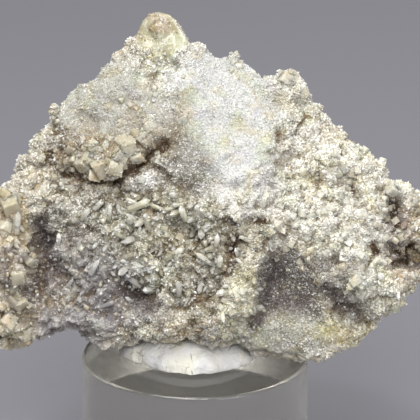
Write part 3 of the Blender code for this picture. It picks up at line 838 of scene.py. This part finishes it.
def scatter_tree(shapes):
    """Crystals that stand on a mesh where one of its attributes lets them."""
    web = Web(bpy.data.node_groups.new("scatter", "GeometryNodeTree"))
    inputs = [web.input(label, kind) for label, kind in TREE_INPUTS.items()]
    ground, share, spacing, crowd, size, spread, tilt, seed = inputs
    sockets = {
        "Mesh": ground, "Distance Min": spacing, "Density Max": crowd,
        "Density Factor": web.named(share), "Seed": seed,
    }
    spots = web.add("GeometryNodeDistributePointsOnFaces", {"distribute_method": "POISSON"}, sockets)
    grains = web.joined([instance(web, shape(web)) for shape in shapes])
    choice = web.random("INT", 0, len(shapes) - 1, seed)

    low = web.vector(tilt * -1.0, tilt * -1.0, -math.pi)
    lean = web.random("FLOAT_VECTOR", low, web.vector(tilt, tilt, math.pi), seed + 1)
    turn = web.add("FunctionNodeEulerToRotation", None, {"Euler": lean})
    upright = {"Vector": spots.also("Normal")}
    stand = web.add("FunctionNodeAlignRotationToVector", {"axis": "Z"}, upright)
    both = {"Rotation": stand, "Rotate By": turn}
    facing = web.add("FunctionNodeRotateRotation", {"rotation_space": "LOCAL"}, both)

    sides = web.random("FLOAT_VECTOR", (0.8, 0.8, 0.75), (1.2, 1.2, 1.3), seed + 2)
    whole = web.random("FLOAT", 1.0 - spread, spread + 1.0, seed + 3)
    factor = {0: sides, "Scale": whole * size * web.named("grain_size")}
    scale = web.add("ShaderNodeVectorMath", {"operation": "SCALE"}, factor)

    sockets = {
        "Points": spots, "Instance": grains, "Pick Instance": True,
        "Instance Index": choice, "Rotation": facing, "Scale": scale,
    }
    placed = web.add("GeometryNodeInstanceOnPoints", None, sockets)
    tone = web.random("FLOAT", 0.0, 1.0, seed + 4)
    sockets = {"Geometry": placed, "Name": "grain_tone", "Value": tone}
    settings = {"data_type": "FLOAT", "domain": "INSTANCE"}
    toned = web.add("GeometryNodeStoreNamedAttribute", settings, sockets)
    solid = web.add("GeometryNodeRealizeInstances", None, {"Geometry": toned})
    web.tree.interface.new_socket("Crystals", in_out="OUTPUT", socket_type="NodeSocketGeometry")
    web.put(web.tree.nodes.new("NodeGroupOutput").inputs[0], solid)
    return web.tree


# Sowings on the rock: name, kind, least distance in millimetres, most in a square metre, size in
# millimetres and how far it strays, tilt, and what is added to the seed
SOWINGS = [
    ("sugar", "sugar", 0.12, 4.5e7, 0.21, 0.5, 0.7, 50),
    *((f"druse_{n + 1}", "druse", 0.14, 2.2e7, 0.24, 0.6, 0.7, 10 * n) for n in range(3)),
    ("woodhouseite_small", "cube", 0.4, 1.8e6, 0.45, 0.5, 0.9, 60),
    *(
        (f"quartz_small_{n + 1}", "prism", size * 0.6, 0.6e6 / size**2, size, 0.35, 0.75, 70 + n)
        for n, size in enumerate((0.4, 0.6, 0.95))
    ),
]


def grow(ground, kinds, name, kind, spacing, crowd, size, spread, tilt, seed):
    """Sows one kind of crystal on a mesh and returns the crystals as a plain piece."""
    tree, finish = kinds[kind]
    inputs = {
        "Share": f"{kind}_share", "Spacing": spacing * MM, "Crowd": crowd, "Size": size * MM,
        "Spread": spread, "Tilt": tilt, "Seed": SEED + seed,
    }
    sown = linked("scratch", ground.copy())
    modifier = sown.modifiers.new("grow", "NODES")
    modifier.node_group = tree
    for item in tree.interface.items_tree:
        if item.name in inputs:
            modifier[item.identifier] = inputs[item.name]
    sown.update_tag()
    mesh = as_plain_mesh(sown, name)
    drop_growth(mesh)
    return mesh_object(mesh, finish)


def drop_growth(mesh):
    """Removes the attributes that only the growing needs."""
    growth = [a.name for a in mesh.attributes if a.name.endswith(("_share", "grain_size"))]
    for name in growth:
        mesh.attributes.remove(mesh.attributes[name])


# Large crystals that stand out: pixel of the photograph, size across in pixels, turn in degrees
LARGE_CUBES = [
    (101, 167, 24, 20), (86, 162, 18, 50), (114, 169, 20, 75), (127, 146, 20, 15),
    (143, 138, 17, 55), (96, 152, 13, 35), (120, 158, 15, 60), (136, 157, 13, 25),
    (106, 145, 12, 70), (150, 126, 12, 45), (87, 148, 12, 30), (70, 150, 12, 65),
    (159, 160, 11, 80), (118, 187, 12, 35), (70, 189, 12, 5), (57, 113, 10, 50), (44, 190, 12, 70),
    (147, 52, 10, 15), (10, 207, 22, 15), (4, 226, 16, 60), (18, 275, 20, 12), (30, 262, 11, 48),
    (14, 288, 12, 33), (27, 333, 17, 8), (8, 322, 20, 66), (20, 303, 15, 28), (345, 258, 14, 5),
    (355, 281, 12, 45), (321, 280, 10, 40), (329, 208, 13, 22), (341, 196, 12, 61),
    (371, 166, 9, 12), (300, 240, 12, 72), (278, 224, 13, 18), (240, 229, 12, 52),
    (312, 214, 11, 9), (392, 190, 13, 43), (415, 200, 14, 77), (303, 93, 13, 31),
    (285, 78, 13, 57), (233, 58, 12, 35), (214, 331, 13, 63), (238, 312, 13, 21),
    (225, 322, 11, 50), (228, 300, 12, 80), (395, 308, 11, 35), (268, 232, 12, 66),
    (182, 120, 11, 25), (178, 108, 10, 60), (150, 118, 10, 10), (122, 125, 11, 33),
    (345, 225, 11, 70), (360, 245, 12, 15), (300, 262, 10, 55), (375, 262, 11, 36),
    (262, 258, 11, 20),
]
# Quartz prisms: pixel, length and width in pixels, and the way they lie in degrees
LARGE_PRISMS = [
    (134, 203, 20, 10, 40), (186, 213, 14, 8, 95), (151, 223, 11, 9, 75), (175, 255, 18, 8, 28),
    (205, 258, 14, 8, 140), (94, 268, 17, 6, 62), (136, 279, 19, 8, 128), (174, 288, 16, 8, 120),
    (216, 242, 10, 7, 85), (248, 237, 11, 5, 125), (204, 225, 8, 6, 60), (221, 263, 9, 8, 70),
    (107, 306, 14, 6, 10), (76, 262, 11, 6, 80), (17, 223, 21, 10, 85), (120, 235, 11, 6, 150),
    (85, 217, 12, 7, 45), (147, 250, 10, 6, 20), (17, 303, 13, 8, 110), (60, 240, 11, 6, 75),
    (108, 214, 13, 6, 100), (96, 205, 12, 7, 60), (162, 205, 13, 6, 130), (72, 285, 11, 5, 30),
]


# The most that a block's corner has lost, as a share of its side
CORNER_WEAR = 0.22
EDGE_ROUNDING = 0.3
# Blocks of this many pixels and more have two small blocks against them, and the others five
LONE_BLOCK = 18
BLOCK_SHEAR = (0.09, 0.05)
# The shares of a large crystal's size that the lesser ones beside it have
LESSER_BLOCKS = (0.35, 0.75)
LESSER_PRISMS = (0.4, 0.65)
# How far lesser blocks stray, as a share of the large one, and by how many degrees blocks lean
# and turn and prisms spread
BLOCK_STRAY = 0.55
BLOCK_LEAN = (10.0, 40.0)
BLOCK_TURN = (20.0, 60.0)
PRISM_SPREAD = 70.0
# The sides of a block, as a share of its size
BLOCK_SIDES = (0.8, 1.1)
FLAT_WITHIN = math.radians(16.0)
WIDE_FACE = 0.1
SHARP_OVER = math.radians(55.0)


def on_rock(surface, marks):
    """The rock's place and slope at each mark's pixel, with the rest of the mark."""
    for x, y, *rest in marks:
        across, up = (x - PHOTO_MIDDLE) * PHOTO_PIXEL, (PHOTO_MIDDLE - y) * PHOTO_PIXEL
        target = AIM + FACE_RIGHT * across + FACE_UP * up
        point, normal, _, _ = surface.ray_cast(CAMERA_PLACE, (target - CAMERA_PLACE).normalized())
        if point is not None:
            yield point, normal, *rest


def standing(point, direction, turn, tilt=0.0):
    """Where a crystal stands whose own Z lies that way, turned about it and tilted."""
    upright = direction.to_track_quat("Z", "Y").to_matrix().to_4x4()
    turned = Matrix.Rotation(turn, 4, "Z") @ Matrix.Rotation(tilt, 4, "X")
    return Matrix.Translation(point) @ upright @ turned


class CrystalHeap:
    """Separate crystals, gathered into one mesh."""

    def __init__(self):
        self.points = []
        self.faces = []
        self.tips = []

    def add(self, form, place_at):
        """Puts a crystal there. Its tip layer says how much painted light each of its points gets."""
        layer = form.verts.layers.float["tip"]
        form.verts.index_update()
        start = len(self.points)
        for vert in form.verts:
            self.points.append(place_at @ vert.co)
            self.tips.append(vert[layer])
        for face in form.faces:
            self.faces.append([start + vert.index for vert in face.verts])
        form.free()

    def mesh(self, name):
        made = bpy.data.meshes.new(name)
        made.from_pydata(self.points, [], self.faces)
        add_attributes(made, tip=np.array(self.tips))
        return made


def new_crystal():
    form = bmesh.new()
    form.verts.layers.float.new("tip")
    return form


def worn_block(chance, rounded):
    """A worn woodhouseite block: the hull of a cube whose corners have broken off unevenly."""
    form = new_crystal()
    for signs in itertools.product((-0.5, 0.5), repeat=3):
        for _ in range(2):
            kept = [1.0 - 2.0 * chance.uniform(0.0, CORNER_WEAR) for _ in range(3)]
            bmesh.ops.create_vert(form, co=[sign * share for sign, share in zip(signs, kept)])
    hull = bmesh.ops.convex_hull(form, input=form.verts)
    bmesh.ops.delete(form, geom=hull["geom_interior"], context="VERTS")
    bmesh.ops.dissolve_limit(form, angle_limit=FLAT_WITHIN, verts=form.verts, edges=form.edges)
    bmesh.ops.transform(form, matrix=Matrix.Shear("XY", 4, BLOCK_SHEAR), verts=form.verts)
    if rounded:
        round_edges_for_painted_light(form)
    bmesh.ops.recalc_face_normals(form, faces=form.faces)
    return form


def round_edges_for_painted_light(form):
    """Rounds a crystal's edges and marks them for painted light, lighter than the middle of its faces.
    """
    layer = form.verts.layers.float["tip"]
    flats = form.faces[:]
    bmesh.ops.bevel(
        form, geom=form.edges[:], offset=EDGE_ROUNDING, segments=3, affect="EDGES", clamp_overlap=True
    )
    for vert in form.verts:
        vert[layer] = 1.0
    flats = [face for face in flats if face.is_valid and face.calc_area() > WIDE_FACE]
    for vert in bmesh.ops.poke(form, faces=flats)["verts"]:
        vert[layer] = 0.2


def grown_prism(length, width, chance):
    """A quartz prism, thinner at its root, whose point is off its middle as grown ones are."""
    form = new_crystal()
    layer = form.verts.layers.float["tip"]
    made = bmesh.ops.create_cone(
        form, cap_ends=True, segments=6, radius1=width * 0.4, radius2=width / 2, depth=length
    )
    tip = [vert for vert in made["verts"] if vert.co.z > 0.0]
    top = [face for face in tip[0].link_faces if all(vert in tip for vert in face.verts)]
    point = bmesh.ops.poke(form, faces=top)["verts"][0]
    aside = [chance.uniform(-0.16, 0.16) * width for _ in range(2)]
    point.co += Vector((*aside, 0.55 * width))
    for vert in tip:
        vert.co.z += chance.uniform(-0.16, 0.1) * width
        vert[layer] = 0.9
    point[layer] = 1.0
    bmesh.ops.recalc_face_normals(form, faces=form.faces)
    return form


def ready_for_dust(mesh, tone):
    """Gives crystals a tone that drifts, and says where druse has grown over them."""
    points = points_of(mesh)
    x, y = photo_place(points)
    drift = tone + 1.2 * soft_noise(points, 3.0 * MM, 21)
    add_attributes(mesh, grain_tone=np.clip(drift, 0.0, 0.98), crisp=np.full(len(x), 0.6))
    dust = step(soft_noise(points, 1.6 * MM, 22), -0.25, 0.35)
    clean = 1.0 - most(x, y, bald_peak=1.0, lobe=0.6)
    share = (0.06 + 0.4 * dust) * clean
    add_attributes(mesh, sugar_share=share, grain_size=np.full(len(x), 0.75))
    return mesh


def large_cubes(surface):
    """Each large crystal is a block with smaller ones grown against it."""
    chance = random.Random(SEED)
    heap = CrystalHeap()
    for point, normal, size, turn in on_rock(surface, LARGE_CUBES):
        across = size * FACE_PIXEL
        direction = (normal + FACE_OUT * 0.8).normalized()
        for number in range(6 if size < LONE_BLOCK else 3):
            share = 1.0 if number == 0 else chance.uniform(*LESSER_BLOCKS)
            drift = Vector([chance.uniform(-BLOCK_STRAY, BLOCK_STRAY) for _ in range(3)])
            drift = drift * across * (number > 0)
            drift -= direction * max(drift.dot(direction), 0.0)
            centre = point - direction * across * 0.2 + drift
            sides = [across * share * chance.uniform(*BLOCK_SIDES) for _ in range(3)]
            lean = math.radians(chance.uniform(*BLOCK_LEAN))
            spin = math.radians(turn + number * chance.uniform(*BLOCK_TURN))
            stand = standing(centre, direction, spin, lean) @ Matrix.Diagonal((*sides, 1.0))
            heap.add(worn_block(chance, rounded=number == 0), stand)
    return ready_for_dust(heap.mesh("woodhouseite_large"), 0.5)


def large_prisms(surface):
    """Each large prism has two lesser ones that spread from the same root."""
    chance = random.Random(SEED + 1)
    heap = CrystalHeap()
    for point, normal, length, width, turn in on_rock(surface, LARGE_PRISMS):
        for number in range(3):
            share = 1.0 if number == 0 else chance.uniform(*LESSER_PRISMS)
            lie = math.radians(turn + (number > 0) * chance.uniform(-PRISM_SPREAD, PRISM_SPREAD))
            across = FACE_RIGHT * math.cos(lie) + FACE_UP * math.sin(lie)
            direction = (across + normal * chance.uniform(0.4, 0.8)).normalized()
            thick = width * 0.9 * FACE_PIXEL * share
            long = length * FACE_PIXEL * share
            root = point - across * length * FACE_PIXEL * 0.45 + normal * thick * 0.25
            centre = root + direction * long * 0.5
            stand = standing(centre, direction, chance.uniform(0, 1))
            heap.add(grown_prism(long, thick, chance), stand)
    return ready_for_dust(heap.mesh("quartz_large"), 0.85)


def build_rock():
    """The rock: its matrix, the sowings of druse, and the two kinds of larger crystal."""
    base = rock_base()
    mark_growth(base)
    druse, cube, quartz = druse_finish(), woodhouseite_finish(), quartz_finish()
    kinds = {
        "sugar": (scatter_tree([worn(corner_shape), corner_shape]), druse),
        "druse": (scatter_tree([corner_shape, worn(corner_shape), point_shape]), druse),
        "cube": (scatter_tree([cube_shape, worn(cube_shape)]), cube),
        "prism": (scatter_tree([prism_shape]), quartz),
    }
    pieces = [grow(base, kinds, *sowing) for sowing in SOWINGS]
    corners = [vert.co.copy() for vert in base.vertices]
    surface = BVHTree.FromPolygons(corners, [face.vertices for face in base.polygons])
    large = [(large_cubes(surface), cube, 2.4e7), (large_prisms(surface), quartz, 0.72e7)]
    for mesh, finish, crowd in large:
        dust = (f"{mesh.name}_dust", "sugar", 0.16, crowd, 0.27, 0.4, 0.6, 80)
        pieces.append(grow(mesh, kinds, *dust))
        drop_growth(mesh)
        mesh.shade_smooth()
        mesh.set_sharp_from_angle(angle=SHARP_OVER)
        pieces.append(mesh_object(mesh, finish))
    drop_growth(base)
    rock = mesh_object(base, matrix_finish())
    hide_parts("woodhouseite_rock")
    for piece in [rock, *pieces]:
        # The outermost tips are pressed back into the solid model's box
        put_points(piece.data, np.clip(points_of(piece.data), *cad_box))
        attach(piece, "root")


PUTTY_GRID = 0.2 * MM
PUTTY_SINK = 0.1 * MM
PUTTY_MELTING = 12
# Dents in the putty: how wide, how deep, and a number that picks the pattern
PUTTY_DENTS = [(2.6 * MM, 0.22 * MM, 11), (1.0 * MM, 0.12 * MM, 12), (0.4 * MM, 0.05 * MM, 13)]
# How far up the putty is drawn down until its foot meets the stand
FOOT_REACH = 1.0 * MM


def build_putty():
    """The putty with soft dents, and its foot flat on the stand."""
    mesh, points, normals = remeshed("mineral_putty", "putty", PUTTY_GRID, PUTTY_MELTING)
    height = sum(depth * soft_noise(points, size, seed) for size, depth, seed in PUTTY_DENTS)
    points = points + normals * (height - PUTTY_SINK)[:, None]
    low = points[:, 2].min()
    points[:, 2] -= (low - STAND_HIGH.z) * (1.0 - step(points[:, 2] - low, 0.0, FOOT_REACH))
    put_points(mesh, points)
    mesh.shade_smooth()
    putty = mesh_object(mesh, putty_finish())
    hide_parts("mineral_putty")
    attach(putty, "root")


STAND_SIDES = 160
RIM_ROUNDING = 0.35 * MM


def build_stand():
    """The clear cylinder, turned finer than its solid, with a small round edge."""
    form = bmesh.new()
    bmesh.ops.create_cone(
        form, cap_ends=True, segments=STAND_SIDES, radius1=STAND_RADIUS, radius2=STAND_RADIUS,
        depth=STAND_HIGH.z, matrix=Matrix.Translation((0.0, 0.0, STAND_HIGH.z / 2)),
    )
    rims = [edge for edge in form.edges if abs(edge.verts[0].co.z - edge.verts[1].co.z) < MM]
    bmesh.ops.bevel(form, geom=rims, offset=RIM_ROUNDING, segments=4, affect="EDGES", profile=0.5)
    mesh = mesh_of(form, "stand")
    mesh.shade_smooth()
    mesh.set_sharp_from_angle(angle=SHARP_OVER)
    stand = mesh_object(mesh, acrylic_finish())
    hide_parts("acrylic_stand")
    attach(stand, "root")


FLOOR_SIDE = 6.0
FLOOR_GAP = 0.02 * MM


def build_floor():
    bpy.ops.mesh.primitive_plane_add(size=FLOOR_SIDE, location=(0.0, 0.0, -FLOOR_GAP))
    floor = bpy.context.object
    floor.name = "floor"
    floor.data.materials.append(floor_finish())


# Lamps: name, direction from the rock, distance and side in metres, power in watts, colour
LAMPS = [
    ("overhead", (-0.2, -0.2, 0.93), 0.5, 0.24, 2.0, (1.0, 0.99, 0.97)),
    ("front_box", (-0.04, -0.75, 0.6), 0.5, 0.24, 1.75, (1.0, 0.99, 0.98)),
    ("low_fill", (0.6, -0.8, 0.15), 0.6, 0.3, 1.0, (1.0, 0.98, 0.96)),
    ("glint", (-0.1, -0.5, 0.85), 0.5, 0.04, 0.35, (1.0, 1.0, 1.0)),
    ("back_box", (0.7, 0.5, 0.5), 0.6, 0.2, 0.9, (0.97, 0.98, 1.0)),
]


def light_studio():
    """Soft lamps that face the rock, and a faint warm light from all round."""
    for name, direction, away, side, power, colour in LAMPS:
        light = bpy.data.lights.new(name, "AREA")
        light.size = side
        light.energy = power
        light.color = colour
        holder = linked(name, light)
        toward = Vector(direction).normalized()
        holder.location = AIM + toward * away
        holder.rotation_euler = toward.to_track_quat("Z", "Y").to_euler()
    world = bpy.data.worlds.new("studio")
    bpy.context.scene.world = world
    world.use_nodes = True
    sky = world.node_tree.nodes["Background"]
    sky.inputs["Color"].default_value = (0.96, 0.94, 0.9, 1.0)
    sky.inputs["Strength"].default_value = 0.2


def place_camera():
    data = bpy.data.cameras.new("photo_view")
    data.sensor_width = SENSOR
    data.lens = SENSOR / 2 * CAMERA_AWAY / (PHOTO_MIDDLE * PHOTO_PIXEL)
    data.clip_start = 10 * MM
    camera = linked("photo_view", data)
    camera.location = CAMERA_PLACE
    camera.rotation_euler = FACE_OUT.to_track_quat("Z", "Y").to_euler()
    bpy.context.scene.camera = camera


bpy.context.scene.view_settings.view_transform = "Standard"
place_camera()
light_studio()
build_floor()
build_rock()
build_putty()
build_stand()
